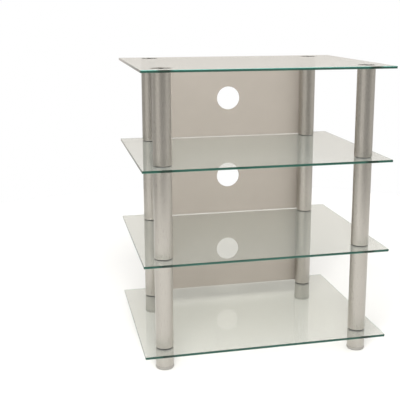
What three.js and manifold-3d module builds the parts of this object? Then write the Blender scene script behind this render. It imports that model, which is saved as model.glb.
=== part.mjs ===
// Audio equipment rack: four glass shelves on four round posts, with a sheet-metal back in each bay.
// Millimetres, +Z up, front towards -Y. The origin is on the floor under the middle of the shelves.

import * as THREE from 'three';
import { mergeVertices } from 'three/addons/utils/BufferGeometryUtils.js';
import Module from 'manifold-3d';

const wasm = await Module();
wasm.setup();

// Driving dimensions: the shelves
const shelfWidth = 620;
const shelfDepth = 465;
const glassThickness = 6;
const shelfCornerRadius = 2;
const glassArris = 0.5;
const bayHeight = 223;
const footHeight = 49;

// Driving dimensions: the posts, placed by their axes from the shelf edges
const tubeDiameter = 44.5;
const tubeWall = 1.5;
const frontPostSideInset = 55.5;
const frontPostEdgeInset = 56.5;
const backPostSideInset = 79;
const backPostEdgeInset = 49.5;
const tubeEndChamfer = 0.6;
const endPlateThickness = 3;

// Tie rod up the inside of each post
const rodDiameter = 8;
const rodPastBoss = 4;
const rodThreadInDisc = 10;

// Seat ring: flange on the glass, nose in its drilled hole, spigot in the tube above
const seatFlangeThickness = 0.9;
const seatFlangeInset = 1.2;
const seatNoseWall = 2.6;
const seatNoseShortfall = 1;
const seatSpigotHeight = 8;

// Foot and its glide
const footWall = 2.5;
const footCollarHeight = 3.4;
const footCollarInset = 0.9;
const footWebThickness = 6;
const footBossWall = 5;
const footBossLength = 16;
const glideHeight = 8;
const glideFloorThickness = 3;
const glideFlare = 0.9;
const glideFlareHeight = 3;
const glideEdgeRound = 2;
const glideSpigotHeight = 10;
const glideSpigotWall = 2;

// Disc bonded under the top shelf, with openings round a threaded hub
const discOpenings = 4;
const discThickness = 2.5;
const discInset = 0.6;
const discRimWidth = 2.6;
const discSpokeWidth = 12;
const discHubWall = 4.8;
const discHubLength = 14;
const discSkirtHeight = 6;
const discSkirtWall = 1.6;

// Back panels and their screws
const panelThickness = 1.5;
const panelPastPost = 14;
const panelEndGap = 1;
const panelCornerRadius = 3;
const cableHoleDiameter = 66;
const screwDiameter = 4;
const screwHeadDiameter = 7.6;
const screwHeadHeight = 2.4;
const screwHeadCrown = 0.9;
const screwPastWall = 6;
const screwEndInset = 26;

// Clearances between pieces, and the overrun of cuts and joins
const restGap = 0.3;
const boreClearance = 0.5;
const rodClearance = 0.4;
const screwClearance = 0.4;
const overrun = 1;

// Facets of round shapes
const tubeFacets = 28;
const seatFacets = 20;
const rodFacets = 12;
const screwFacets = 8;
const drilledHoleFacets = 12;
const cableHoleFacets = 32;
const cornerFacets = 3;
const openingFacets = 4;

// Sizes that follow
const tubeRadius = tubeDiameter / 2;
const tubeBore = tubeRadius - tubeWall;
const rodRadius = rodDiameter / 2;
const rodHole = rodRadius + rodClearance;
const seatNoseRadius = rodHole + seatNoseWall;
const glassHoleRadius = seatNoseRadius + boreClearance;
const footBore = tubeRadius - footWall;
const shelfPitch = glassThickness + bayHeight;
const shelfCount = 4;
const topShelf = shelfCount - 1;
const panelFront = shelfDepth / 2 - backPostEdgeInset + tubeRadius + restGap;
const screwHoleRadius = screwDiameter / 2 + screwClearance;

// Materials
const metal = (color, roughness) => new THREE.MeshStandardMaterial({ color, roughness, metalness: 0.85 });
const plastic = (color, roughness) => new THREE.MeshStandardMaterial({ color, roughness, metalness: 0 });
const clearGlass = new THREE.MeshStandardMaterial({
  color: 0xd5e6de,
  roughness: 0.03,
  metalness: 0,
  transparent: true,
  opacity: 0.4,
});
const satinTube = metal(0xb7b1a6, 0.32);
const castFoot = metal(0xbbb6ac, 0.36);
const panelSheet = metal(0xb6ada4, 0.45);
const zincSteel = metal(0xa4a6a6, 0.4);
const discMetal = metal(0xc9c9c6, 0.3);
const blackPlastic = plastic(0x2b2a28, 0.6);
const greyPlastic = plastic(0xaba79e, 0.45);

// Levels of the shelves, counted from the bottom one
const glassUnderside = (shelf) => footHeight + shelf * shelfPitch;
const glassTop = (shelf) => glassUnderside(shelf) + glassThickness;

// Points of an arc, both ends included
function arcPoints(x, y, radius, from, to, facets) {
  const points = [];
  for (let i = 0; i <= facets; i += 1) {
    const angle = THREE.MathUtils.lerp(from, to, i / facets);
    points.push(new THREE.Vector2(x + radius * Math.cos(angle), y + radius * Math.sin(angle)));
  }
  return points;
}

function circlePoints(x, y, radius, facets) {
  return arcPoints(x, y, radius, 0, 2 * Math.PI, facets).slice(0, facets);
}

// Rectangle about the origin with rounded corners
function roundedRectangle(width, height, radius) {
  const points = [];
  const corners = [[1, 1], [-1, 1], [-1, -1], [1, -1]];
  corners.forEach(([sideX, sideY], quarter) => {
    const x = sideX * (width / 2 - radius);
    const y = sideY * (height / 2 - radius);
    const from = quarter * Math.PI / 2;
    points.push(...arcPoints(x, y, radius, from, from + Math.PI / 2, cornerFacets));
  });
  return points;
}

// Flat plate from an outline and holes, from z = 0 up to its thickness, with its edges broken by an arris
function plate(outline, holes, thickness, arris = 0) {
  const shape = new THREE.Shape(outline);
  shape.holes = holes.map((points) => new THREE.Path(points));
  const geometry = new THREE.ExtrudeGeometry(shape, {
    depth: thickness - 2 * arris,
    bevelEnabled: arris > 0,
    bevelThickness: arris,
    bevelSize: arris,
    bevelOffset: -arris,
    bevelSegments: 1,
  });
  return geometry.translate(0, 0, arris);
}

// Solid of revolution about Z. The profile runs outwards, up and back in, as [radius, height] pairs.
function revolve(profile, facets) {
  const points = profile.map(([radius, height]) => new THREE.Vector2(radius, height));
  const onAxis = profile[0][0] === 0;
  if (!onAxis) {
    points.push(points[0].clone());
  }
  return new THREE.LatheGeometry(points, facets).rotateX(Math.PI / 2);
}

// Cylinder along Y between two places, as a tool for cuts
function cutterAlongY(radius, fromY, toY, z) {
  const cutter = new THREE.CylinderGeometry(radius, radius, toY - fromY, screwFacets);
  return cutter.translate(0, (fromY + toY) / 2, z);
}

// A closed geometry as a manifold solid
function solidOf(geometry) {
  const bare = geometry.clone();
  bare.deleteAttribute('normal');
  bare.deleteAttribute('uv');
  const merged = mergeVertices(bare);
  const corners = merged.index.array;
  const kept = [];
  for (let i = 0; i < corners.length; i += 3) {
    const [a, b, c] = corners.slice(i, i + 3);
    if (a !== b && b !== c && c !== a) {
      kept.push(a, b, c);
    }
  }
  const vertProperties = new Float32Array(merged.attributes.position.array);
  return new wasm.Manifold(new wasm.Mesh({ numProp: 3, vertProperties, triVerts: new Uint32Array(kept) }));
}

function geometryOf(solid) {
  const mesh = solid.getMesh();
  const geometry = new THREE.BufferGeometry();
  geometry.setAttribute('position', new THREE.BufferAttribute(mesh.vertProperties, 3));
  geometry.setIndex(new THREE.BufferAttribute(mesh.triVerts, 1));
  geometry.computeVertexNormals();
  return geometry;
}

function piece(name, geometry, material, x, y, z) {
  const mesh = new THREE.Mesh(geometry, material);
  mesh.name = name;
  mesh.position.set(x, y, z);
  return mesh;
}

// The four posts, by their axes
const frontX = shelfWidth / 2 - frontPostSideInset;
const frontY = frontPostEdgeInset - shelfDepth / 2;
const backX = shelfWidth / 2 - backPostSideInset;
const backY = shelfDepth / 2 - backPostEdgeInset;
const posts = [
  { name: 'front_left', x: -frontX, y: frontY, carriesPanels: false },
  { name: 'front_right', x: frontX, y: frontY, carriesPanels: false },
  { name: 'back_left', x: -backX, y: backY, carriesPanels: true },
  { name: 'back_right', x: backX, y: backY, carriesPanels: true },
];
const shelfNames = ['bottom', 'lower', 'upper', 'top'];
const bayNames = ['bottom', 'middle', 'top'];

// Glass shelf, drilled for the rods unless the discs are bonded under it
function shelfGeometry(drilled) {
  const outline = roundedRectangle(shelfWidth, shelfDepth, shelfCornerRadius);
  const drilledPosts = drilled ? posts : [];
  const holes = drilledPosts.map((post) => circlePoints(post.x, post.y, glassHoleRadius, drilledHoleFacets));
  return plate(outline, holes, glassThickness, glassArris);
}

function shelves() {
  const group = new THREE.Group();
  shelfNames.forEach((name, shelf) => {
    const geometry = shelfGeometry(shelf < topShelf);
    group.add(piece(`glass_shelf_${name}`, geometry, clearGlass, 0, 0, glassUnderside(shelf)));
  });
  return group;
}

// Where the tube of a bay starts and how long it is
function tubeSpan(bay) {
  const bottom = glassTop(bay) + restGap + seatFlangeThickness + restGap;
  const underDisc = bay + 1 === topShelf ? discThickness + restGap : 0;
  const top = glassUnderside(bay + 1) - restGap - underDisc;
  return { bottom, length: top - bottom };
}

// Heights of the panel screws above the shelf of their bay
const panelHeight = bayHeight - 2 * panelEndGap;
const screwHeights = [panelEndGap + screwEndInset, panelEndGap + panelHeight - screwEndInset];

// Tube of a post. In the two lower bays its top is closed by a plate with a hole for the rod.
function tubeGeometry(bay, carriesPanels) {
  const { bottom, length } = tubeSpan(bay);
  const open = bay + 1 === topShelf;
  const outside = [
    [tubeBore, 0],
    [tubeRadius - tubeEndChamfer, 0],
    [tubeRadius, tubeEndChamfer],
    [tubeRadius, length - tubeEndChamfer],
    [tubeRadius - tubeEndChamfer, length],
  ];
  const openTop = [[tubeBore, length]];
  const platedTop = [
    [rodHole, length],
    [rodHole, length - endPlateThickness],
    [tubeBore, length - endPlateThickness],
  ];
  const tube = revolve([...outside, ...(open ? openTop : platedTop)], tubeFacets);
  if (!carriesPanels) {
    return tube;
  }
  const holes = screwHeights.map((height) => {
    const z = glassTop(bay) + height - bottom;
    return solidOf(cutterAlongY(screwHoleRadius, tubeBore - tubeWall, tubeRadius + overrun, z));
  });
  return geometryOf(holes.reduce((solid, hole) => solid.subtract(hole), solidOf(tube)));
}

// Seat ring, with z = 0 on the glass
function seatGeometry() {
  const flangeTop = restGap + seatFlangeThickness;
  const noseEnd = seatNoseShortfall - glassThickness;
  const flangeRadius = tubeRadius - seatFlangeInset;
  const spigotRadius = tubeBore - boreClearance;
  return revolve([
    [rodHole, noseEnd],
    [seatNoseRadius, noseEnd],
    [seatNoseRadius, restGap],
    [flangeRadius, restGap],
    [flangeRadius, flangeTop],
    [spigotRadius, flangeTop],
    [spigotRadius, flangeTop + seatSpigotHeight],
    [rodHole, flangeTop + seatSpigotHeight],
  ], seatFacets);
}

// Foot: a short stub with a narrower collar under the glass and a threaded boss inside
const footTop = footHeight - restGap;
const footBossEnd = footTop - footWebThickness - footBossLength;

function footGeometry() {
  const bottom = glideHeight + restGap;
  const collar = footTop - footCollarHeight;
  const web = footTop - footWebThickness;
  const collarRadius = tubeRadius - footCollarInset;
  return revolve([
    [footBore, bottom],
    [tubeRadius, bottom],
    [tubeRadius, collar],
    [collarRadius, collar],
    [collarRadius, footTop],
    [rodHole, footTop],
    [rodHole, footBossEnd],
    [rodHole + footBossWall, footBossEnd],
    [rodHole + footBossWall, web],
    [footBore, web],
  ], tubeFacets);
}

// Glide: a cup pushed into the foot, a little wider than it and rounded at the floor
function glideGeometry() {
  const flare = tubeRadius + glideFlare;
  const spigot = footBore - boreClearance;
  const inside = spigot - glideSpigotWall;
  const spigotTop = glideHeight + glideSpigotHeight;
  return revolve([
    [0, 0],
    [flare - glideEdgeRound, 0],
    [flare, glideFlareHeight],
    [tubeRadius, glideHeight],
    [spigot, glideHeight],
    [spigot, spigotTop],
    [inside, spigotTop],
    [inside, glideFloorThickness],
    [0, glideFloorThickness],
  ], tubeFacets);
}

// Disc under the top shelf, with its upper face at z = 0
function discGeometry() {
  const discRadius = tubeRadius - discInset;
  const hubRadius = rodHole + discHubWall;
  const openingRadius = tubeBore - boreClearance - discSkirtWall;
  const rimRadius = Math.min(openingRadius, discRadius - discRimWidth);
  const sector = 2 * Math.PI / discOpenings;
  const spokeAngle = Math.asin(discSpokeWidth / (hubRadius + rimRadius));
  const plain = plate(circlePoints(0, 0, discRadius, tubeFacets), [], discThickness);
  let face = solidOf(plain.translate(0, 0, -discThickness));
  for (let turn = 0; turn < discOpenings; turn += 1) {
    const from = (turn - 1 / 2) * sector + spokeAngle;
    const to = (turn + 1 / 2) * sector - spokeAngle;
    const outer = arcPoints(0, 0, rimRadius, from, to, openingFacets);
    const inner = arcPoints(0, 0, hubRadius, to, from, openingFacets);
    const cutter = plate([...outer, ...inner], [], discThickness + 2 * overrun);
    face = face.subtract(solidOf(cutter.translate(0, 0, -discThickness - overrun)));
  }

  const rooted = -discThickness / 2;
  const skirtRadius = tubeBore - boreClearance;
  const skirtEnd = -discThickness - discSkirtHeight;
  const skirt = revolve([
    [skirtRadius - discSkirtWall, skirtEnd],
    [skirtRadius, skirtEnd],
    [skirtRadius, rooted],
    [skirtRadius - discSkirtWall, rooted],
  ], tubeFacets);
  const hubEnd = -discThickness - discHubLength;
  const hub = revolve([
    [rodHole, hubEnd],
    [hubRadius, hubEnd],
    [hubRadius, rooted],
    [rodHole, rooted],
  ], seatFacets);
  return geometryOf(face.add(solidOf(skirt)).add(solidOf(hub)));
}

// Rod from below the foot's boss up into the thread of the disc
const rodBottom = footBossEnd - rodPastBoss;
const discFace = glassUnderside(topShelf) - restGap;
const rodTop = discFace - discThickness - discHubLength + rodThreadInDisc;

function rodGeometry() {
  const length = rodTop - rodBottom;
  return revolve([[0, 0], [rodRadius, 0], [rodRadius, length], [0, length]], rodFacets);
}

const seat = seatGeometry();
const foot = footGeometry();
const glide = glideGeometry();
const disc = discGeometry();
const rod = rodGeometry();

function postGroup({ name, x, y, carriesPanels }) {
  const group = new THREE.Group();
  group.position.set(x, y, 0);
  bayNames.forEach((bayName, bay) => {
    const tube = tubeGeometry(bay, carriesPanels);
    group.add(piece(`post_tube_${name}_${bayName}`, tube, satinTube, 0, 0, tubeSpan(bay).bottom));
    group.add(piece(`seat_ring_${name}_${bayName}`, seat, blackPlastic, 0, 0, glassTop(bay)));
  });
  group.add(piece(`foot_${name}`, foot, castFoot, 0, 0, 0));
  group.add(piece(`foot_glide_${name}`, glide, greyPlastic, 0, 0, 0));
  group.add(piece(`top_disc_${name}`, disc, discMetal, 0, 0, discFace));
  group.add(piece(`tie_rod_${name}`, rod, zincSteel, 0, 0, rodBottom));
  return group;
}

// Back panel standing behind the back posts, with its front face at y = 0 and its foot at z = 0
const panelWidth = 2 * (backX + panelPastPost);

function panelGeometry() {
  const outline = roundedRectangle(panelWidth, panelHeight, panelCornerRadius);
  const holes = [circlePoints(0, 0, cableHoleDiameter / 2, cableHoleFacets)];
  for (const x of [-backX, backX]) {
    for (const height of screwHeights) {
      const z = height - panelEndGap - panelHeight / 2;
      holes.push(circlePoints(x, z, screwHoleRadius, screwFacets));
    }
  }
  const sheet = plate(outline, holes, panelThickness).rotateX(Math.PI / 2);
  return sheet.translate(0, panelThickness, panelHeight / 2);
}

// Screw along Y, its head behind the panel and its tip inside the tube. y = 0 is the panel's back.
function screwGeometry() {
  const radius = screwDiameter / 2;
  const headRadius = screwHeadDiameter / 2;
  const reach = panelThickness + restGap + tubeWall + screwPastWall;
  const headTop = restGap + screwHeadHeight;
  return revolve([
    [0, -reach],
    [radius, -reach],
    [radius, restGap],
    [headRadius, restGap],
    [headRadius, headTop - screwHeadCrown],
    [headRadius - screwHeadCrown, headTop],
    [0, headTop],
  ], screwFacets).rotateX(-Math.PI / 2);
}

const panel = panelGeometry();
const screw = screwGeometry();

function panels() {
  const group = new THREE.Group();
  bayNames.forEach((bayName, bay) => {
    const foot = glassTop(bay) + panelEndGap;
    group.add(piece(`back_panel_${bayName}`, panel, panelSheet, 0, panelFront, foot));
    for (const [side, x] of [['left', -backX], ['right', backX]]) {
      ['low', 'high'].forEach((end, index) => {
        const z = glassTop(bay) + screwHeights[index];
        const name = `panel_screw_${bayName}_${side}_${end}`;
        group.add(piece(name, screw, zincSteel, x, panelFront + panelThickness, z));
      });
    }
  });
  return group;
}

const rack = new THREE.Group();
rack.add(shelves());
posts.forEach((post) => rack.add(postGroup(post)));
rack.add(panels());

export default rack;
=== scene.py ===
# Audio equipment rack: four clear glass shelves on four round satin posts, with sheet-metal backs.
# Metres, +Z up, front towards -Y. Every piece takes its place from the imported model's nodes.

import math

import bmesh
import bpy
from mathutils import Matrix, Vector


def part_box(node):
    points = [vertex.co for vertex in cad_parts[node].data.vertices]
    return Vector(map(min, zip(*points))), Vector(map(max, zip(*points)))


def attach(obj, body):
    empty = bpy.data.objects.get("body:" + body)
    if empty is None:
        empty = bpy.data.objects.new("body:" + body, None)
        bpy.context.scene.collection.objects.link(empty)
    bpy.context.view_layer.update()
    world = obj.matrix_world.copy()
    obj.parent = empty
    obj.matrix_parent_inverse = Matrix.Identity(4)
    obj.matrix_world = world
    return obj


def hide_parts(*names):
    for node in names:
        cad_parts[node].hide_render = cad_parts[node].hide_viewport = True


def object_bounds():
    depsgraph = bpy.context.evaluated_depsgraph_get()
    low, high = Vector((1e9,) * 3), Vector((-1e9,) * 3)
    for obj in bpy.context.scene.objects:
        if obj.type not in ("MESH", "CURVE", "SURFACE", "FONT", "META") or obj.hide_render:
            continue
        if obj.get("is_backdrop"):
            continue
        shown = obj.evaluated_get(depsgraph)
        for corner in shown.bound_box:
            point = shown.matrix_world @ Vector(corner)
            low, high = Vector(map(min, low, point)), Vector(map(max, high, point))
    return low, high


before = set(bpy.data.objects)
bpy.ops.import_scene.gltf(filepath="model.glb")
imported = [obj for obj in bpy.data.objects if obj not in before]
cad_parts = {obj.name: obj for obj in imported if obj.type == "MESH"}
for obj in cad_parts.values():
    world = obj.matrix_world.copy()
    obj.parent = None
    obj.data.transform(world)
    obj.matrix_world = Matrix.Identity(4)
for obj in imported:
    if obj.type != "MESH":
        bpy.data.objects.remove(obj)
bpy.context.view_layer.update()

ROWS = ("front", "back")
SIDES = ("left", "right")
ENDS = ("low", "high")
BAYS = ("bottom", "middle", "top")
SHELVES = ("bottom", "lower", "upper", "top")
POSTS = [f"{row}_{side}" for row in ROWS for side in SIDES]


def node_size(node):
    low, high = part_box(node)
    return high - low


def node_centre(node):
    low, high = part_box(node)
    return (low + high) / 2


def post_axis(post):
    return node_centre(f"foot_{post}")


# Sizes that several pieces share. The size of a hole or a bore is its radius. The radius of a tube is
# rounded to a micrometre, as boxes have single precision.

MM = 0.001
REST_GAP = 0.3 * MM
BORE_CLEARANCE = 0.5 * MM
THREAD_CLEARANCE = 0.4 * MM
TUBE_RADIUS = round(node_size("post_tube_front_left_bottom").x / 2, 6)
TUBE_WALL = 1.5 * MM
TUBE_BORE = TUBE_RADIUS - TUBE_WALL
SPIGOT_RADIUS = TUBE_BORE - BORE_CLEARANCE
ROD_RADIUS = 4 * MM
ROD_HOLE = ROD_RADIUS + THREAD_CLEARANCE
SEAT_NOSE_WALL = 2.6 * MM
SEAT_NOSE_RADIUS = ROD_HOLE + SEAT_NOSE_WALL
GLASS_HOLE = SEAT_NOSE_RADIUS + BORE_CLEARANCE
SCREW_RADIUS = 2 * MM
SCREW_HOLE = SCREW_RADIUS + THREAD_CLEARANCE

# Steps of round shapes, and of the fillets on their profiles

TUBE_STEPS = 96
RING_STEPS = 64
GLASS_HOLE_STEPS = 48
CABLE_HOLE_STEPS = 96
SCREW_HOLE_STEPS = 24
THREAD_STEPS = 24
FILLET_STEPS = 3
TUBE_FILLET_STEPS = 4
GLIDE_FILLET_STEPS = 5
SCREW_FILLET_STEPS = 5

# Turns that lay what is made along +Z towards the back or the front

TO_THE_BACK = Matrix.Rotation(math.radians(-90), 4, "X")
TO_THE_FRONT = Matrix.Rotation(math.radians(90), 4, "X")


# Outlines and profiles: lists of 2-D points

def arc(centre, radius, start, end, steps):
    """Points of an arc, both ends included. The angles are in degrees."""
    points = []
    for i in range(steps + 1):
        angle = math.radians(start + (end - start) * i / steps)
        points.append((centre[0] + radius * math.cos(angle), centre[1] + radius * math.sin(angle)))
    return points


def circle(centre, radius, steps):
    return arc(centre, radius, 0, 360, steps)[:-1]


def rounded_rectangle(width, height, radius, steps):
    """Rectangle about the origin with rounded corners."""
    points = []
    for quarter, (side_x, side_y) in enumerate(((1, 1), (-1, 1), (-1, -1), (1, -1))):
        centre = (side_x * (width / 2 - radius), side_y * (height / 2 - radius))
        points += arc(centre, radius, quarter * 90, quarter * 90 + 90, steps)
    return points


def sheet(width, height, corner, steps):
    """The outline of a sheet as a function of the inset, which makes it smaller."""
    return lambda inset: rounded_rectangle(width - 2 * inset, height - 2 * inset, corner - inset, steps)


def hole(x, y, radius, steps):
    """The outline of a round hole as a function of the inset, which makes it larger."""
    return lambda inset: circle((x, y), radius + inset, steps)


SUPPORT = 1 * MM
LONG_SIDE = 8 * MM


def filleted(profile, steps):
    """The profile with each corner that has a third number, its fillet's radius, turned into an arc. A
    side that is longer than LONG_SIDE gets a point at SUPPORT from the arc, which keeps its shading
    straight."""
    points = []
    for i, corner in enumerate(profile):
        here = Vector(corner[:2])
        if len(corner) < 3:
            points.append(tuple(here))
            continue
        radius = corner[2]
        before = Vector(profile[i - 1][:2]) - here
        after = Vector(profile[(i + 1) % len(profile)][:2]) - here
        back = before.normalized()
        onward = after.normalized()
        half = before.angle(after) / 2
        reach = radius / math.tan(half)
        start = here + back * reach
        end = here + onward * reach
        centre = here + (back + onward).normalized() * radius / math.sin(half)
        if before.length > LONG_SIDE:
            points.append(tuple(start + back * SUPPORT))
        for k in range(steps + 1):
            spoke = (start - centre).slerp(end - centre, k / steps).normalized() * radius
            points.append(tuple(centre + spoke))
        if after.length > LONG_SIDE:
            points.append(tuple(end + onward * SUPPORT))
    return points


# Meshes. Points within WELD of each other are joined, and a cut leaves nothing narrower than SLIVER. Edges
# that turn by more than SHARP, in degrees, stay sharp.

WELD = 0.0001 * MM
SLIVER = 0.003 * MM
SHARP = 30


def finished(bm, name, materials, sharp=SHARP):
    """A new object from the bmesh, smooth except at edges sharper than the given angle in degrees."""
    bmesh.ops.remove_doubles(bm, verts=bm.verts, dist=WELD)
    bmesh.ops.recalc_face_normals(bm, faces=bm.faces)
    bm.normal_update()
    for face in bm.faces:
        face.smooth = True
    for edge in bm.edges:
        edge.smooth = edge.smooth and edge.calc_face_angle(0) < math.radians(sharp)
    mesh = bpy.data.meshes.new(name)
    bm.to_mesh(mesh)
    bm.free()
    for material in materials:
        mesh.materials.append(material)
    piece = bpy.data.objects.new(name, mesh)
    bpy.context.collection.objects.link(piece)
    return piece


def ring(bm, radius, z, steps):
    """The vertices of a circle about Z. Without a radius they are all one vertex on the axis."""
    if radius == 0:
        return [bm.verts.new((0, 0, z))] * steps
    return [bm.verts.new((x, y, z)) for x, y in circle((0, 0), radius, steps)]


def skin(bm, lower, upper, index=0):
    """Faces of the given material index between two rings of equal length."""
    count = len(lower)
    for i in range(count):
        j = (i + 1) % count
        corners = []
        for vert in (lower[i], lower[j], upper[j], upper[i]):
            if vert not in corners:
                corners.append(vert)
        if len(corners) > 2:
            bm.faces.new(corners).material_index = index


def skin_all(bm, rings):
    """Faces from each ring to the next."""
    for lower, upper in zip(rings, rings[1:]):
        skin(bm, lower, upper)


def turned(name, profile, steps, materials, fillet_steps=FILLET_STEPS):
    """A new solid of revolution about Z. The profile is closed, and its points are radius, height and the
    fillet's radius where there is one."""
    bm = bmesh.new()
    rings = [ring(bm, radius, z, steps) for radius, z in filleted(profile, fillet_steps)]
    skin_all(bm, rings + rings[:1])
    return finished(bm, name, materials)


def plate(bm, outlines, levels):
    """A flat plate up along Z. outlines are functions that give a closed outline for an inset, the outer
    one first and then the holes. levels are (height, inset, material index of the wall above it). The
    faces at both ends have material index 0."""
    walls = []
    for outline in outlines:
        loops = [[bm.verts.new((x, y, z)) for x, y in outline(inset)] for z, inset, _ in levels]
        for lower, upper, level in zip(loops, loops[1:], levels):
            skin(bm, lower, upper, level[2])
        walls.append(loops)
    for end in (0, -1):
        edges = []
        for loops in walls:
            loop = loops[end]
            edges += [bm.edges.get((loop[i - 1], loop[i])) for i in range(len(loop))]
        for edge in edges:
            edge.smooth = False
        filled = bmesh.ops.triangle_fill(bm, edges=edges, use_beauty=True, use_dissolve=False)
        for item in filled["geom"]:
            if isinstance(item, bmesh.types.BMFace):
                item.material_index = 0


def arris_levels(thickness, arris, steps, wall=0, lower=0, upper=0, lower_band=0.0, upper_band=0.0):
    """Levels of a plate whose edges are rounded over by the arris. wall, lower and upper are material
    indices. The bands carry the index of an arris a little way up or down the wall."""
    levels = []
    for i in range(steps + 1):
        angle = math.radians(90 * i / steps)
        levels.append((arris * (1 - math.cos(angle)), arris * (1 - math.sin(angle)), lower))
    levels.append((arris + lower_band, 0, wall))
    levels.append((thickness - arris - upper_band, 0, upper))
    for i in range(steps + 1):
        angle = math.radians(90 * i / steps)
        levels.append((thickness - arris * (1 - math.sin(angle)), arris * (1 - math.cos(angle)), upper))
    return levels


THREAD_ROWS = 8


def thread(bm, radius, depth, pitch, bottom, top):
    """Rings of a screw thread that runs out at both ends, ready to be skinned with what lies below and
    above. A pitch has THREAD_ROWS rings."""
    rings = []
    count = max(THREAD_ROWS, round((top - bottom) / pitch * THREAD_ROWS))
    for k in range(count + 1):
        z = bottom + (top - bottom) * k / count
        share = max(0, min(1, (z - bottom) / pitch, (top - z) / pitch))
        verts = []
        for i in range(THREAD_STEPS):
            angle = 2 * math.pi * i / THREAD_STEPS
            phase = (z / pitch - i / THREAD_STEPS) % 1
            groove = abs(2 * phase - 1)
            r = radius - depth * share * groove
            verts.append(bm.verts.new((r * math.cos(angle), r * math.sin(angle), z)))
        rings.append(verts)
    return rings


def cut(piece, tool):
    """Takes the tool from the piece's mesh, without leaving slivers. The tool is deleted."""
    modifier = piece.modifiers.new("cut", "BOOLEAN")
    modifier.operation = "DIFFERENCE"
    modifier.solver = "EXACT"
    modifier.object = tool
    bpy.context.view_layer.update()
    graph = bpy.context.evaluated_depsgraph_get()
    mesh = bpy.data.meshes.new_from_object(piece.evaluated_get(graph), depsgraph=graph)
    piece.modifiers.clear()
    piece.data = mesh
    bm = bmesh.new()
    bm.from_mesh(mesh)
    bmesh.ops.remove_doubles(bm, verts=bm.verts, dist=SLIVER)
    bmesh.ops.dissolve_degenerate(bm, dist=SLIVER, edges=bm.edges)
    bmesh.ops.triangulate(bm, faces=bm.faces)
    bm.to_mesh(mesh)
    bm.free()
    mesh.shade_smooth()
    mesh.set_sharp_from_angle(angle=math.radians(SHARP))
    bpy.data.objects.remove(tool)


def copy_of(piece, name):
    twin = bpy.data.objects.new(name, piece.data)
    bpy.context.collection.objects.link(twin)
    return twin


def placed(piece, x, y, z, node):
    """Puts a piece at its place and says which node it stands for."""
    piece.location = (x, y, z)
    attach(piece, "root")
    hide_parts(node)


# Materials

NO_STRETCH = (1, 1, 1)


class Nodes:
    """A node tree under construction, with short calls for the nodes that it uses."""

    def __init__(self, owner):
        owner.use_nodes = True
        self.tree = owner.node_tree
        self.tree.nodes.clear()

    def set(self, node, key, value):
        """Links an input to another node's socket, or gives it a value. Colours are given as RGB."""
        socket = node.inputs[key]
        if isinstance(value, bpy.types.NodeSocket):
            self.tree.links.new(value, socket)
        else:
            socket.default_value = (*value, 1) if socket.type == "RGBA" else value

    def node(self, kind, **inputs):
        """A new node. Its inputs go by their names, with _ for a space."""
        made = self.tree.nodes.new(kind)
        for key, value in inputs.items():
            self.set(made, key.replace("_", " "), value)
        return made

    def output(self, kind, **inputs):
        """The first output of a new node."""
        return self.node(kind, **inputs).outputs[0]

    def operation(self, kind, name, values):
        made = self.tree.nodes.new(kind)
        made.operation = name
        for index, value in enumerate(values):
            self.set(made, index, value)
        return made

    def math(self, name, *values):
        return self.operation("ShaderNodeMath", name, values).outputs[0]

    def vector(self, name, *values):
        """An operation on vectors that gives a vector."""
        return self.operation("ShaderNodeVectorMath", name, values).outputs["Vector"]

    def measure(self, name, *values):
        """An operation on vectors that gives a number."""
        return self.operation("ShaderNodeVectorMath", name, values).outputs["Value"]

    def between(self, fac, low, high, from_low=0.3, from_high=0.7, smooth=False):
        """A number from low to high as fac goes through its range, which is that of noise if none is
        given."""
        ranged = self.node(
            "ShaderNodeMapRange",
            Value=fac,
            From_Min=from_low,
            From_Max=from_high,
            To_Min=low,
            To_Max=high,
        )
        if smooth:
            ranged.interpolation_type = "SMOOTHSTEP"
        return ranged.outputs["Result"]

    def blended(self, fac, first, second):
        """A colour between two, by fac."""
        mix = self.tree.nodes.new("ShaderNodeMix")
        mix.data_type = "RGBA"
        for index, value in ((0, fac), (6, first), (7, second)):
            self.set(mix, index, value)
        return mix.outputs[2]

    def mixed(self, fac, first, second):
        """A shader between two, by fac."""
        mix = self.tree.nodes.new("ShaderNodeMixShader")
        for index, value in enumerate((fac, first, second)):
            self.set(mix, index, value)
        return mix.outputs[0]


class Shader(Nodes):
    """A material under construction, whose textures lie in the piece's own coordinates. It is called s in
    the functions below."""

    def __init__(self, name):
        self.material = bpy.data.materials.new(name)
        super().__init__(self.material)
        self.coordinates = self.node("ShaderNodeTexCoord").outputs["Object"]

    def place(self):
        """The X, Y and Z of a point, by their letters."""
        return self.node("ShaderNodeSeparateXYZ", Vector=self.coordinates).outputs

    def noise(self, scale, stretch=NO_STRETCH, detail=3, roughness=0.6):
        noise = self.node(
            "ShaderNodeTexNoise",
            Vector=self.output("ShaderNodeMapping", Vector=self.coordinates, Scale=stretch),
            Scale=scale,
            Detail=detail,
            Roughness=roughness,
        )
        return noise.outputs["Fac"]

    def bump(self, height, distance, strength):
        return self.output("ShaderNodeBump", Height=height, Distance=distance, Strength=strength)

    def done(self, surface):
        """The finished material, with the given shader as its surface."""
        self.node("ShaderNodeOutputMaterial", Surface=surface)
        return self.material

    def principled(self, **inputs):
        """The finished material, with a principled shader as its surface."""
        return self.done(self.output("ShaderNodeBsdfPrincipled", **inputs))


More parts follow.
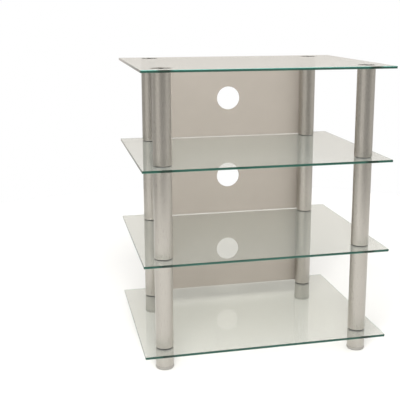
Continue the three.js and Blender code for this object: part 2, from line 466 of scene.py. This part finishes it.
def satin_metal(name, pale, deep, roughness, grain_stretch=(1, 1, 0.02), metallic=0.9):
    """Satin lacquered metal: fine grain along Z, and a slight wander of tone and gloss."""
    gloss_spread = 0.05
    s = Shader(name)
    grain = s.noise(scale=2600, stretch=grain_stretch, detail=4, roughness=0.7)
    cloud = s.noise(scale=9, stretch=(1, 1, 0.6))
    return s.principled(
        Base_Color=s.blended(s.between(cloud, 0, 1), pale, deep),
        Metallic=metallic,
        Roughness=s.between(grain, roughness - gloss_spread, roughness + gloss_spread),
        Normal=s.bump(grain, distance=0.012 * MM, strength=0.6),
        Anisotropic=0.25,
    )


def panel_lacquer():
    """Taupe silver lacquer on sheet steel: metal flake, a faint orange peel and a slow wander of tone."""
    s = Shader("panel_lacquer")
    flake = s.noise(scale=5200, detail=2, roughness=0.8)
    peel = s.noise(scale=420, detail=2, roughness=0.5)
    cloud = s.noise(scale=5)
    return s.principled(
        Base_Color=s.blended(s.between(cloud, 0, 1), (0.385, 0.348, 0.312), (0.362, 0.330, 0.293)),
        Metallic=0.25,
        Roughness=s.between(flake, 0.42, 0.56),
        Normal=s.bump(peel, distance=0.02 * MM, strength=0.5),
        Coat_Weight=0.1,
        Coat_Roughness=0.4,
    )


def moulded_plastic(name, pale, deep, roughness):
    """Moulded plastic with a fine spark-eroded texture."""
    gloss_spread = 0.08
    s = Shader(name)
    texture = s.noise(scale=3000, roughness=0.7)
    cloud = s.noise(scale=60, detail=2)
    return s.principled(
        Base_Color=s.blended(s.between(cloud, 0, 1), pale, deep),
        Roughness=s.between(texture, roughness - gloss_spread, roughness + gloss_spread),
        Normal=s.bump(texture, distance=0.02 * MM, strength=0.7),
        Specular_IOR_Level=0.4,
    )


PAD_GAP = 5 * MM
PAD_HUB_RADIUS = 7 * MM
PAD_BLACK = (0.035, 0.034, 0.032)
PAD_GAP_METAL = (0.48, 0.47, 0.455)


def bonding_pad():
    """Black pad between a top disc and the glass, with a gap along each of the four diagonal spokes, where
    the bright metal shows. The sum and the difference of X and Y are root two times the distance along a
    diagonal and from it."""
    root_two = math.sqrt(2)
    s = Shader("bonding_pad")
    texture = s.noise(scale=3000, roughness=0.7)
    place = s.place()
    x = s.math("ABSOLUTE", place["X"])
    y = s.math("ABSOLUTE", place["Y"])
    from_diagonal = s.math("ABSOLUTE", s.math("SUBTRACT", x, y))
    in_gap = s.math("LESS_THAN", from_diagonal, PAD_GAP / 2 * root_two)
    off_hub = s.math("GREATER_THAN", s.math("ADD", x, y), PAD_HUB_RADIUS * root_two)
    return s.principled(
        Base_Color=s.blended(s.math("MULTIPLY", in_gap, off_hub), PAD_BLACK, PAD_GAP_METAL),
        Roughness=s.between(texture, 0.4, 0.55),
        Normal=s.bump(texture, distance=0.02 * MM, strength=0.7),
    )


GLASS_IOR = 1.5
GLASS_HAZE = 0.10
GLASS_UNDERSIDE = 1 * MM
DISC_MIRROR_SHARE = 0.1
DISC_MIRROR_FADE = 6 * MM


def distance_from_post(s):
    """Distance from the nearest post's axis, seen from above. A shelf's own X and Y are the rack's, and
    left and right are alike."""
    place = s.place()
    folded = s.output("ShaderNodeCombineXYZ", X=s.math("ABSOLUTE", place["X"]), Y=place["Y"])
    distances = []
    for row in ROWS:
        axis = post_axis(f"{row}_right")
        distances.append(s.measure("DISTANCE", folded, (axis.x, axis.y, 0)))
    return s.math("MINIMUM", *distances)


def glass_face(name, over_discs=False):
    """Face of clear float glass, which mirrors as much as its index says. The eye sees it bend and mirror
    light, and light itself passes with a faint tint. Over the bonded discs the glass mirrors less, and its
    underside doesn't bend light, as the bond fills the gap."""
    s = Shader(name)
    ripple = s.noise(scale=3, detail=1, roughness=0.4)
    tint = s.blended(s.between(ripple, 0, 1), (0.868, 0.862, 0.840), (0.863, 0.857, 0.834))
    clear = s.output("ShaderNodeBsdfRefraction", Color=tint, IOR=GLASS_IOR, Roughness=0.0)
    mirror = s.output("ShaderNodeBsdfGlossy", Color=(0.97, 0.98, 0.97), Roughness=0.0)
    haze = s.output("ShaderNodeBsdfDiffuse", Color=(0.60, 0.66, 0.64))
    lit = s.output("ShaderNodeBsdfTransparent", Color=(0.955, 0.955, 0.945))
    mirror_share = s.output("ShaderNodeFresnel", IOR=GLASS_IOR)
    haze_share = GLASS_HAZE
    if over_discs:
        distance = distance_from_post(s)
        kept = s.between(distance, DISC_MIRROR_SHARE, 1, TUBE_RADIUS, TUBE_RADIUS + DISC_MIRROR_FADE)
        mirror_share = s.math("MULTIPLY", mirror_share, kept)
        haze_share = s.math("MULTIPLY", haze_share, kept)
    optics = s.mixed(haze_share, s.mixed(mirror_share, clear, mirror), haze)
    if over_discs:
        underside = s.math("LESS_THAN", s.place()["Z"], GLASS_UNDERSIDE)
        bonded = s.math("MULTIPLY", underside, s.math("LESS_THAN", distance, TUBE_RADIUS))
        optics = s.mixed(bonded, optics, lit)
    path = s.node("ShaderNodeLightPath").outputs
    onward = s.math("MAXIMUM", path["Is Transmission Ray"], path["Is Singular Ray"])
    seen = s.math("MAXIMUM", path["Is Camera Ray"], onward)
    return s.done(s.mixed(seen, lit, optics))


# Painted shade in a glass edge beside a post: its colour, the distances from the post within which it is
# full and beyond which it is gone, and how far along the edge it reaches.
EDGE_SHADE = (0.004, 0.022, 0.014)
EDGE_SHADE_FULL = 10 * MM
EDGE_SHADE_GONE = 22 * MM
EDGE_SHADE_REACH = 100 * MM


def glass_edge(name, pale, deep, inner, gloss):
    """Ground and polished edge of the glass. Seen through the glass from inside it only tints. Beside a
    post, on all four sides, the edge is painted nearly black: painted shade for the black rings and pads
    that show through the edge where they touch the glass."""
    s = Shader(name)
    streak = s.noise(scale=16, stretch=(1, 1, 8))
    colour = s.blended(s.between(streak, 0, 1), deep, pale)
    place = s.place()
    folded = s.math("ABSOLUTE", place["X"])
    for row in ROWS:
        axis = post_axis(f"{row}_right")
        across = s.math("ABSOLUTE", s.math("SUBTRACT", folded, axis.x))
        along = s.math("ABSOLUTE", s.math("SUBTRACT", place["Y"], axis.y))
        beside = s.between(s.math("MINIMUM", across, along), 1, 0, EDGE_SHADE_FULL, EDGE_SHADE_GONE)
        near = s.math("LESS_THAN", s.math("MAXIMUM", across, along), EDGE_SHADE_REACH)
        colour = s.blended(s.math("MULTIPLY", beside, near), colour, EDGE_SHADE)
    outer = s.output("ShaderNodeBsdfPrincipled", Base_Color=colour, Roughness=gloss, Specular_IOR_Level=0.5)
    clear = s.output("ShaderNodeBsdfTransparent", Color=inner)
    return s.done(s.mixed(s.node("ShaderNodeNewGeometry").outputs["Backfacing"], outer, clear))


tube_satin = satin_metal(
    "tube_satin",
    pale=(0.425, 0.402, 0.366),
    deep=(0.402, 0.381, 0.346),
    roughness=0.30,
)
foot_satin = satin_metal(
    "foot_satin",
    pale=(0.475, 0.452, 0.415),
    deep=(0.450, 0.430, 0.392),
    roughness=0.30,
)
disc_cast = satin_metal(
    "disc_cast",
    pale=(0.66, 0.65, 0.63),
    deep=(0.62, 0.61, 0.59),
    roughness=0.4,
    grain_stretch=NO_STRETCH,
    metallic=0.25,
)
disc_pad = bonding_pad()
zinc_plate = satin_metal(
    "zinc_plate",
    pale=(0.60, 0.61, 0.61),
    deep=(0.52, 0.53, 0.54),
    roughness=0.32,
    grain_stretch=NO_STRETCH,
    metallic=1.0,
)
panel_finish = panel_lacquer()
ring_plastic = moulded_plastic(
    "ring_plastic",
    pale=(0.065, 0.062, 0.055),
    deep=(0.055, 0.052, 0.047),
    roughness=0.5,
)
glide_plastic = moulded_plastic(
    "glide_plastic",
    pale=(0.34, 0.325, 0.30),
    deep=(0.31, 0.295, 0.27),
    roughness=0.4,
)
glass_clear = glass_face("glass_face")
glass_over_discs = glass_face("glass_face_over_discs", over_discs=True)
edge_green = glass_edge(
    "glass_edge",
    pale=(0.014, 0.070, 0.052),
    deep=(0.006, 0.042, 0.030),
    inner=(0.62, 0.70, 0.66),
    gloss=0.0,
)
# Lighter copies of the edge's colour: painted highlights on one arris at a shelf's front and back.
edge_aqua_highlight = glass_edge(
    "glass_edge_aqua",
    pale=(0.12, 0.40, 0.35),
    deep=(0.08, 0.32, 0.28),
    inner=(0.8, 0.86, 0.83),
    gloss=0.10,
)
edge_pale_highlight = glass_edge(
    "glass_edge_pale",
    pale=(0.12, 0.25, 0.19),
    deep=(0.08, 0.19, 0.14),
    inner=(0.8, 0.86, 0.83),
    gloss=0.10,
)


# Glass shelves

GLASS_ARRIS = 0.5 * MM
GLASS_ARRIS_STEPS = 3
GLASS_CORNER = 2 * MM
GLASS_CORNER_STEPS = 10
ARRIS_BAND = 0.3 * MM
EDGE = 1
HIGHLIGHT_ARRIS = 2


def glass_shelf(shelf, drilled):
    """A shelf with a painted highlight on one arris at the front and the back: the upper one on the top
    shelf, which is seen from above, and the lower one on the drilled shelves."""
    low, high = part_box(f"glass_shelf_{shelf}")
    size = high - low
    centre = (low + high) / 2
    outlines = [sheet(size.x, size.y, GLASS_CORNER, GLASS_CORNER_STEPS)]
    if drilled:
        for post in POSTS:
            axis = post_axis(post)
            outlines.append(hole(axis.x, axis.y, GLASS_HOLE, GLASS_HOLE_STEPS))
        arrises = {"lower": HIGHLIGHT_ARRIS, "upper": EDGE, "lower_band": ARRIS_BAND}
        materials = (glass_clear, edge_green, edge_pale_highlight)
    else:
        arrises = {"lower": EDGE, "upper": HIGHLIGHT_ARRIS, "upper_band": ARRIS_BAND}
        materials = (glass_over_discs, edge_green, edge_aqua_highlight)
    bm = bmesh.new()
    plate(bm, outlines, arris_levels(size.z, GLASS_ARRIS, GLASS_ARRIS_STEPS, wall=EDGE, **arrises))
    piece = finished(bm, f"shelf_{shelf}", materials)
    # The painted highlight stays off the sides.
    for face in piece.data.polygons:
        if face.material_index == HIGHLIGHT_ARRIS and abs(face.normal.x) > abs(face.normal.y):
            face.material_index = EDGE
    placed(piece, centre.x, centre.y, low.z, f"glass_shelf_{shelf}")


for shelf in SHELVES:
    glass_shelf(shelf, drilled=shelf != "top")


# Post tubes

TUBE_END_ROUND = 0.5 * MM
TUBE_INNER_ROUND = 0.3 * MM
END_PLATE = 3 * MM


def tube_mesh(length, plated, drill_heights):
    """A tube, drilled through its back at the given heights. A plated one is closed at the head by a plate
    with a hole for the rod."""
    profile = [
        (TUBE_BORE, 0, TUBE_INNER_ROUND),
        (TUBE_RADIUS, 0, TUBE_END_ROUND),
        (TUBE_RADIUS, length, TUBE_END_ROUND),
    ]
    if plated:
        profile += [
            (ROD_HOLE, length, TUBE_INNER_ROUND),
            (ROD_HOLE, length - END_PLATE),
            (TUBE_BORE, length - END_PLATE),
        ]
    else:
        profile += [(TUBE_BORE, length, TUBE_INNER_ROUND)]
    tube = turned("tube", profile, TUBE_STEPS, (tube_satin,), TUBE_FILLET_STEPS)
    past_wall = 2 * TUBE_RADIUS
    drill_profile = [(0, 0), (SCREW_HOLE, 0), (SCREW_HOLE, past_wall), (0, past_wall)]
    for height in drill_heights:
        drill = turned("drill", drill_profile, SCREW_HOLE_STEPS, ())
        drill.data.transform(Matrix.Translation((0, 0, height)) @ TO_THE_BACK)
        cut(tube, drill)
    return tube


def screw_heights(row, bay):
    """Heights of the panel screws above the foot of a tube. The front posts carry no panel."""
    if row == "front":
        return []
    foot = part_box(f"post_tube_{row}_left_{bay}")[0].z
    return [node_centre(f"panel_screw_{bay}_left_{end}").z - foot for end in ENDS]


for row in ROWS:
    for bay in BAYS:
        low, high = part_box(f"post_tube_{row}_left_{bay}")
        tube = tube_mesh(high.z - low.z, bay != "top", screw_heights(row, bay))
        for side in SIDES:
            axis = post_axis(f"{row}_{side}")
            piece = copy_of(tube, f"tube_{row}_{side}_{bay}")
            placed(piece, axis.x, axis.y, low.z, f"post_tube_{row}_{side}_{bay}")
        bpy.data.objects.remove(tube)


# Seat rings

SEAT_FLANGE_INSET = 1.2 * MM
SEAT_RELIEF = 1.6 * MM
SEAT_ROUND = 0.35 * MM


def seat_ring_mesh():
    """A seat ring with the top of the glass at z = 0: a flange between glass and tube, a nose in the
    drilled hole, and a spigot in the tube with a groove between its wall and its hub."""
    glass_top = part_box("glass_shelf_bottom")[1].z
    low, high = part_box("seat_ring_front_left_bottom")
    nose_end = low.z - glass_top
    top = high.z - glass_top
    flange = TUBE_RADIUS - SEAT_FLANGE_INSET
    flange_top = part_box("post_tube_front_left_bottom")[0].z - glass_top - REST_GAP
    wall = SPIGOT_RADIUS - SEAT_RELIEF
    hub = SEAT_NOSE_RADIUS + SEAT_RELIEF
    profile = [
        (ROD_HOLE, nose_end),
        (SEAT_NOSE_RADIUS, nose_end, SEAT_ROUND),
        (SEAT_NOSE_RADIUS, REST_GAP),
        (flange, REST_GAP, SEAT_ROUND),
        (flange, flange_top, SEAT_ROUND),
        (SPIGOT_RADIUS, flange_top),
        (SPIGOT_RADIUS, top, SEAT_ROUND),
        (wall, top, SEAT_ROUND),
        (wall, flange_top, SEAT_ROUND),
        (hub, flange_top, SEAT_ROUND),
        (hub, top, SEAT_ROUND),
        (ROD_HOLE, top),
    ]
    return turned("seat", profile, RING_STEPS, (ring_plastic,))


# Feet and glides, both made with the floor at z = 0

FOOT_WALL = 2.5 * MM
FOOT_BORE = TUBE_RADIUS - FOOT_WALL
FOOT_COLLAR = 3.4 * MM
FOOT_COLLAR_INSET = 0.9 * MM
FOOT_SHADE_GROOVE = 1.1 * MM
FOOT_SHADE_GROOVE_INSET = 0.5 * MM
FOOT_WEB = 6 * MM
FOOT_BOSS_WALL = 5 * MM
FOOT_BOSS_LENGTH = 16 * MM
FOOT_ROUND = 0.4 * MM
SHADE_GROOVE = 1
GLIDE_FLARE = 0.9 * MM
GLIDE_FLARE_HEIGHT = 3 * MM
GLIDE_FLARE_ROUND = 2.4 * MM
GLIDE_EDGE_INSET = 2 * MM
GLIDE_EDGE_ROUND = 1.2 * MM
GLIDE_FLOOR = 3 * MM
GLIDE_SPIGOT_WALL = 2 * MM


def foot_mesh():
    """A foot: a stub of tube, a web with a boss under it for the rod, and a collar whose top step is
    painted black as shade.
    """
    low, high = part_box("foot_front_left")
    bottom = low.z
    top = high.z
    collar = TUBE_RADIUS - FOOT_COLLAR_INSET
    collar_foot = top - FOOT_COLLAR
    shade_groove = collar - FOOT_SHADE_GROOVE_INSET
    shade_groove_foot = top - FOOT_SHADE_GROOVE
    web = top - FOOT_WEB
    boss = ROD_HOLE + FOOT_BOSS_WALL
    boss_end = web - FOOT_BOSS_LENGTH
    profile = [
        (FOOT_BORE, bottom, FOOT_ROUND),
        (TUBE_RADIUS, bottom, FOOT_ROUND),
        (TUBE_RADIUS, collar_foot, FOOT_ROUND),
        (collar, collar_foot, FOOT_ROUND),
        (collar, shade_groove_foot, FOOT_ROUND),
        (shade_groove, shade_groove_foot),
        (shade_groove, top),
        (ROD_HOLE, top, FOOT_ROUND),
        (ROD_HOLE, boss_end, FOOT_ROUND),
        (boss, boss_end, FOOT_ROUND),
        (boss, web, 2 * FOOT_ROUND),
        (FOOT_BORE, web, 2 * FOOT_ROUND),
    ]
    foot = turned("foot", profile, TUBE_STEPS, (foot_satin, ring_plastic))
    # The step at the collar's top is painted black: painted shade for the shadow line under the glass.
    for face in foot.data.polygons:
        if face.center.z > shade_groove_foot and face.center.xy.length > FOOT_BORE:
            face.material_index = SHADE_GROOVE
    return foot


def glide_mesh():
    """A glide: a flared cup with a rounded rim, and a spigot that fits the foot."""
    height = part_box("foot_front_left")[0].z - REST_GAP
    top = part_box("foot_glide_front_left")[1].z
    flare = TUBE_RADIUS + GLIDE_FLARE
    spigot = FOOT_BORE - BORE_CLEARANCE
    inside = spigot - GLIDE_SPIGOT_WALL
    profile = [
        (0, 0),
        (flare - GLIDE_EDGE_INSET, 0, GLIDE_EDGE_ROUND),
        (flare, GLIDE_FLARE_HEIGHT, GLIDE_FLARE_ROUND),
        (TUBE_RADIUS, height, FOOT_ROUND),
        (spigot, height),
        (spigot, top, FOOT_ROUND),
        (inside, top, FOOT_ROUND),
        (inside, GLIDE_FLOOR, FOOT_ROUND),
        (0, GLIDE_FLOOR),
    ]
    return turned("glide", profile, TUBE_STEPS, (glide_plastic,), GLIDE_FILLET_STEPS)


# Discs under the top shelf. What faces up more than PAD_RISE is pad. What faces up less than BLACK_RISE and
# # lies inside the skirt is painted black: painted shade, which makes the openings read dark.

DISC_INSET = 0.6 * MM
DISC_THICKNESS = 2.5 * MM
DISC_HUB_WALL = 4.8 * MM
DISC_SKIRT = 6 * MM
DISC_SKIRT_WALL = 1.6 * MM
DISC_SPOKE = 12 * MM
DISC_LEDGE = 0.3 * MM
DISC_ROUND = 0.35 * MM
DISC_OVERRUN = 1 * MM
OPENING_OUTER_STEPS = 16
OPENING_INNER_STEPS = 10
PAD_RISE = 0.9
BLACK_RISE = 0.5
CAST, SHADE_BLACK, PAD = range(3)


def disc_mesh():
    """A disc with its face at z = 0: a rim, a skirt that centres the tube, and a hub, joined by four
    diagonal spokes. Inside it is painted black as shade, so the openings read dark, and it has a black pad
    on top."""
    rim = TUBE_RADIUS - DISC_INSET
    skirt = SPIGOT_RADIUS
    inside = skirt - DISC_SKIRT_WALL
    hub = ROD_HOLE + DISC_HUB_WALL
    hub_end = -node_size("top_disc_front_left").z
    under = -DISC_THICKNESS
    profile = [
        (ROD_HOLE, hub_end, DISC_ROUND),
        (hub, hub_end, DISC_ROUND),
        (hub, under),
        (inside, under),
        (inside, under - DISC_SKIRT, DISC_ROUND),
        (skirt, under - DISC_SKIRT, DISC_ROUND),
        (skirt, under),
        (rim, under, DISC_ROUND),
        (rim, 0, DISC_ROUND),
        (inside - DISC_LEDGE, 0),
        (ROD_HOLE, 0, DISC_ROUND),
    ]
    disc = turned("disc", profile, RING_STEPS, (disc_cast, ring_plastic, disc_pad))
    outer = inside - DISC_LEDGE
    inner = hub + DISC_LEDGE
    spoke = math.degrees(math.asin(DISC_SPOKE / (outer + inner)))
    for turn in range(0, 360, 90):
        start = turn - 45 + spoke
        end = turn + 45 - spoke
        opening = arc((0, 0), outer, start, end, OPENING_OUTER_STEPS)
        opening += arc((0, 0), inner, end, start, OPENING_INNER_STEPS)
        bm = bmesh.new()
        plate(bm, [lambda inset: opening], [(under - DISC_OVERRUN, 0, 0), (DISC_OVERRUN, 0, 0)])
        cut(disc, finished(bm, "opening", ()))
    # Faces inside the skirt that face up little get painted shade: black, so the openings read dark.
    for face in disc.data.polygons:
        if face.normal.z > PAD_RISE:
            face.material_index = PAD
        elif face.normal.z < BLACK_RISE and face.center.xy.length < skirt - DISC_ROUND:
            face.material_index = SHADE_BLACK
        else:
            face.material_index = CAST
    return disc


# Tie rods with a thread at each end

ROD_PITCH = 1.25 * MM
ROD_THREAD_DEPTH = 0.6 * MM
ROD_TIP_RADIUS = ROD_RADIUS - 0.72 * MM
ROD_LEAD = 1 * MM
ROD_LOW_THREAD = 32 * MM
ROD_HIGH_THREAD = 22 * MM
ROD_SHARP = 50


def rod_mesh():
    length = node_size("tie_rod_front_left").z
    bm = bmesh.new()
    rings = [ring(bm, 0, 0, THREAD_STEPS), ring(bm, ROD_TIP_RADIUS, 0, THREAD_STEPS)]
    for bottom, top in ((ROD_LEAD, ROD_LOW_THREAD), (length - ROD_HIGH_THREAD, length - ROD_LEAD)):
        rings += thread(bm, ROD_RADIUS, ROD_THREAD_DEPTH, ROD_PITCH, bottom, top)
    rings += [ring(bm, ROD_TIP_RADIUS, length, THREAD_STEPS), ring(bm, 0, length, THREAD_STEPS)]
    skin_all(bm, rings)
    return finished(bm, "rod", (zinc_plate,), ROD_SHARP)


seat = seat_ring_mesh()
foot = foot_mesh()
glide = glide_mesh()
disc = disc_mesh()
disc_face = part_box("top_disc_front_left")[1].z
rod = rod_mesh()
rod_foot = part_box("tie_rod_front_left")[0].z

for post in POSTS:
    axis = post_axis(post)
    for shelf, bay in zip(SHELVES, BAYS):
        piece = copy_of(seat, f"seat_{post}_{bay}")
        glass_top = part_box(f"glass_shelf_{shelf}")[1].z
        placed(piece, axis.x, axis.y, glass_top, f"seat_ring_{post}_{bay}")
    placed(copy_of(foot, f"post_foot_{post}"), axis.x, axis.y, 0, f"foot_{post}")
    placed(copy_of(glide, f"glide_{post}"), axis.x, axis.y, 0, f"foot_glide_{post}")
    placed(copy_of(disc, f"disc_{post}"), axis.x, axis.y, disc_face, f"top_disc_{post}")
    placed(copy_of(rod, f"rod_{post}"), axis.x, axis.y, rod_foot, f"tie_rod_{post}")
for pattern in (seat, foot, glide, disc, rod):
    bpy.data.objects.remove(pattern)


# Back panels

PANEL_CORNER = 3 * MM
PANEL_CORNER_STEPS = 8
PANEL_ARRIS = 0.25 * MM
PANEL_ARRIS_STEPS = 2
CABLE_HOLE = 33 * MM


def back_panel(bay):
    """A panel with its cable hole and four screw holes, made lying on its back and then stood up."""
    low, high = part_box(f"back_panel_{bay}")
    size = high - low
    centre = (low + high) / 2
    outlines = [
        sheet(size.x, size.z, PANEL_CORNER, PANEL_CORNER_STEPS),
        hole(0, 0, CABLE_HOLE, CABLE_HOLE_STEPS),
    ]
    for side in SIDES:
        for end in ENDS:
            middle = node_centre(f"panel_screw_{bay}_{side}_{end}")
            outlines.append(hole(middle.x, middle.z - centre.z, SCREW_HOLE, SCREW_HOLE_STEPS))
    bm = bmesh.new()
    plate(bm, outlines, arris_levels(size.y, PANEL_ARRIS, PANEL_ARRIS_STEPS))
    bm.transform(TO_THE_FRONT)
    piece = finished(bm, f"panel_{bay}", (panel_finish,))
    placed(piece, 0, high.y, centre.z, f"back_panel_{bay}")


for bay in BAYS:
    back_panel(bay)


# Panel screws

SCREW_HEAD = 3.8 * MM
SCREW_HEAD_HEIGHT = 2.4 * MM
SCREW_HEAD_EDGE = 0.3 * MM
SCREW_HEAD_CROWN = 1.5 * MM
SCREW_PITCH = 1.4 * MM
SCREW_THREAD_DEPTH = 0.45 * MM
SCREW_NECK = 0.5 * MM
SCREW_POINT_LENGTH = 2 * MM
SCREW_POINT_RADIUS = 0.8 * MM
SCREW_SHARP = 40
RECESS_WIDTH = 0.9 * MM
RECESS_LENGTH = 4.2 * MM
RECESS_DEPTH = 1.5 * MM
RECESS_TAPER_SHARE = 0.55
RECESS_OVERRUN = 1 * MM
SCREW_TURN = 23
SCREW_TURN_BY_END = 41
SCREW_TURN_BY_BAY = 17
SCREW_TURN_ON_LEFT = 9


def recess(turn):
    """A blade that narrows downwards, at the given turn in degrees. Two of them cut a cross recess."""
    bm = bmesh.new()
    bmesh.ops.create_cube(bm, size=1)
    for vert in bm.verts:
        share = RECESS_TAPER_SHARE if vert.co.z < 0 else 1.0
        vert.co.x *= RECESS_LENGTH * share
        vert.co.y *= RECESS_WIDTH * (1 + share) / 2
        vert.co.z = SCREW_HEAD_HEIGHT + (RECESS_OVERRUN if vert.co.z > 0 else -RECESS_DEPTH)
    bm.transform(Matrix.Rotation(math.radians(turn), 4, "Z"))
    return finished(bm, "recess", ())


def screw_mesh():
    """Self-tapping pan-head screw with a cross recess. Its head is up, with the underside at z = 0."""
    length = node_size("panel_screw_bottom_left_low").y - SCREW_HEAD_HEIGHT
    point = SCREW_POINT_LENGTH - length
    head = [
        (0, 0),
        (SCREW_HEAD, 0, SCREW_HEAD_EDGE),
        (SCREW_HEAD, SCREW_HEAD_HEIGHT, SCREW_HEAD_CROWN),
        (0, SCREW_HEAD_HEIGHT),
    ]
    bm = bmesh.new()
    rings = [ring(bm, 0, -length, THREAD_STEPS), ring(bm, SCREW_POINT_RADIUS, -length, THREAD_STEPS)]
    rings += thread(bm, SCREW_RADIUS, SCREW_THREAD_DEPTH, SCREW_PITCH, point, -SCREW_NECK)
    rings += [ring(bm, SCREW_RADIUS, 0, THREAD_STEPS)]
    rings += [ring(bm, radius, z, THREAD_STEPS) for radius, z in filleted(head, SCREW_FILLET_STEPS)[1:]]
    skin_all(bm, rings)
    screw = finished(bm, "screw", (zinc_plate,), SCREW_SHARP)
    for turn in (0, 90):
        cut(screw, recess(turn))
    return screw


def screw_turn(bay, side, end):
    """How far a screw is turned, in degrees. No two recesses stand alike."""
    turn = SCREW_TURN + SCREW_TURN_BY_END * ENDS.index(end) + SCREW_TURN_BY_BAY * BAYS.index(bay)
    return turn + (SCREW_TURN_ON_LEFT if side == "left" else 0)


screw = screw_mesh()
for bay in BAYS:
    for side in SIDES:
        for end in ENDS:
            node = f"panel_screw_{bay}_{side}_{end}"
            middle = node_centre(node)
            head_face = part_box(node)[1].y - SCREW_HEAD_HEIGHT
            piece = copy_of(screw, f"screw_{bay}_{side}_{end}")
            turn = math.radians(screw_turn(bay, side, end))
            piece.matrix_world = TO_THE_BACK @ Matrix.Rotation(turn, 4, "Z")
            placed(piece, middle.x, head_face, middle.z, node)
bpy.data.objects.remove(screw)


# Floor, light and camera

FLOOR_RADIUS = 1.75
FLOOR_THICKNESS = 0.02
FLOOR_STEPS = 96
# Painted shade round the rack: the floor's colour is grey near the middle and white further out.
FLOOR_SHADE_GREY = (0.80, 0.80, 0.795)
FLOOR_WHITE = (0.955, 0.955, 0.95)
FLOOR_SHADE_GREY_TO = 0.7
FLOOR_WHITE_FROM = 1.5


def floor():
    """A pale floor, painted a little greyer round the rack: painted shade that evens out the near lamps'
    brighter light and darkens the floor seen through the shelves.
    """
    outline = circle((0, 0), FLOOR_RADIUS, FLOOR_STEPS)
    bm = bmesh.new()
    plate(bm, [lambda inset: outline], [(-FLOOR_THICKNESS, 0, 0), (0, 0, 0)])
    s = Shader("pale_floor")
    reach = s.measure("LENGTH", s.coordinates)
    away = s.between(reach, 0, 1, FLOOR_SHADE_GREY_TO, FLOOR_WHITE_FROM)
    material = s.principled(
        Base_Color=s.blended(away, FLOOR_SHADE_GREY, FLOOR_WHITE),
        Roughness=0.6,
        Specular_IOR_Level=0.2,
    )
    finished(bm, "floor", (material,))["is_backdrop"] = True


# Lamps: name, place, the point that they face, width, height and watts

LAMPS = (
    ("key", (-0.40, -1.23, 2.10), (0, 0.1, 0.1), 0.9, 0.9, 44),
    ("left", (-1.5, -1.9, 1.5), (0, 0, 0.4), 1.0, 1.4, 4),
    ("right", (1.9, -1.5, 1.2), (0, 0, 0.4), 0.9, 1.4, 4),
)


def softbox(name, place, target, width, height, watts):
    """An area lamp that lights surfaces but shows neither itself nor its mirror image."""
    lamp = bpy.data.lights.new(name, "AREA")
    lamp.shape = "RECTANGLE"
    lamp.size = width
    lamp.size_y = height
    lamp.energy = watts
    box = bpy.data.objects.new(name, lamp)
    box.location = place
    aim = Vector(target) - Vector(place)
    box.rotation_euler = aim.to_track_quat("-Z", "Y").to_euler()
    box.visible_camera = False
    box.visible_glossy = False
    bpy.context.collection.objects.link(box)


SOFT_LIGHT = (1.0, 0.985, 0.96)
WHITE = (1, 1, 1)
WALL = (0.775, 0.705, 0.665)
ROOM_DARK = (0.36, 0.351, 0.335)
ROOM_BRIGHT = (0.87, 0.85, 0.815)

# Bright sides of the room as satin metal reflects them: azimuth from the front towards +X, half widths
# inside which they are full and outside which they are gone, all in degrees, and strength

ROOM_SIDES = (
    (-57, 4, 40, 1.0),
    (82, 10, 54, 0.8),
    (138, 6, 45, 0.6),
    (-135, 6, 45, 0.5),
)


def room_colour(nodes):
    """The room's colour by the heading of a ray."""
    direction = nodes.node("ShaderNodeTexCoord").outputs["Generated"]
    heading = nodes.vector("NORMALIZE", nodes.vector("MULTIPLY", direction, (1, 1, 0)))
    brightest = 0.0
    for azimuth, full, gone, strength in ROOM_SIDES:
        turn = math.radians(azimuth)
        facing = nodes.measure("DOT_PRODUCT", heading, (math.sin(turn), -math.cos(turn), 0))
        outside = math.cos(math.radians(gone))
        inside = math.cos(math.radians(full))
        bright = nodes.between(facing, 0, strength, outside, inside, smooth=True)
        brightest = nodes.math("MAXIMUM", bright, brightest)
    return nodes.blended(brightest, ROOM_DARK, ROOM_BRIGHT)


def studio():
    """White for the camera and for what is seen through glass, soft white light for surfaces, a pale wall
    in the glass's mirror images, and a room with bright sides for satin metal."""
    world = bpy.data.worlds.new("studio")
    bpy.context.scene.world = world
    nodes = Nodes(world)
    white = nodes.output("ShaderNodeBackground", Color=WHITE)
    light = nodes.output("ShaderNodeBackground", Color=SOFT_LIGHT)
    wall = nodes.output("ShaderNodeBackground", Color=WALL)
    room = nodes.output("ShaderNodeBackground", Color=room_colour(nodes))
    path = nodes.node("ShaderNodeLightPath").outputs
    mirrored = nodes.mixed(path["Is Singular Ray"], room, wall)
    unseen = nodes.mixed(path["Is Glossy Ray"], light, mirrored)
    bounced = nodes.math("MINIMUM", path["Glossy Depth"], 1.0)
    through = nodes.mixed(path["Is Transmission Ray"], unseen, nodes.mixed(bounced, white, wall))
    nodes.node("ShaderNodeOutputWorld", Surface=nodes.mixed(path["Is Camera Ray"], through, white))


EYE = (-0.5267, -1.9218, 0.8743)
EYE_YAW = -12.70
EYE_PITCH = -11.77
SENSOR_WIDTH = 36
FOCAL_LENGTH = 68.45
SHIFT_X = -0.0306
SHIFT_Y = -0.08


def camera():
    """The photograph's viewing angle: a little above the top shelf and left of the middle."""
    lens = bpy.data.cameras.new("camera")
    lens.sensor_width = SENSOR_WIDTH
    lens.lens = FOCAL_LENGTH
    lens.shift_x = SHIFT_X
    lens.shift_y = SHIFT_Y
    eye = bpy.data.objects.new("camera", lens)
    eye.location = EYE
    eye.rotation_euler = (math.radians(90 + EYE_PITCH), 0, math.radians(EYE_YAW))
    bpy.context.collection.objects.link(eye)
    bpy.context.scene.camera = eye


# How many clear faces light may pass. The four shelves have eight between them, and light may go through
# them more than once.

GLASS_PASSES = 32

floor()
studio()
for lamp in LAMPS:
    softbox(*lamp)
camera()
scene = bpy.context.scene
scene.view_settings.view_transform = "Standard"
scene.cycles.transparent_max_bounces = GLASS_PASSES

low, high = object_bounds()
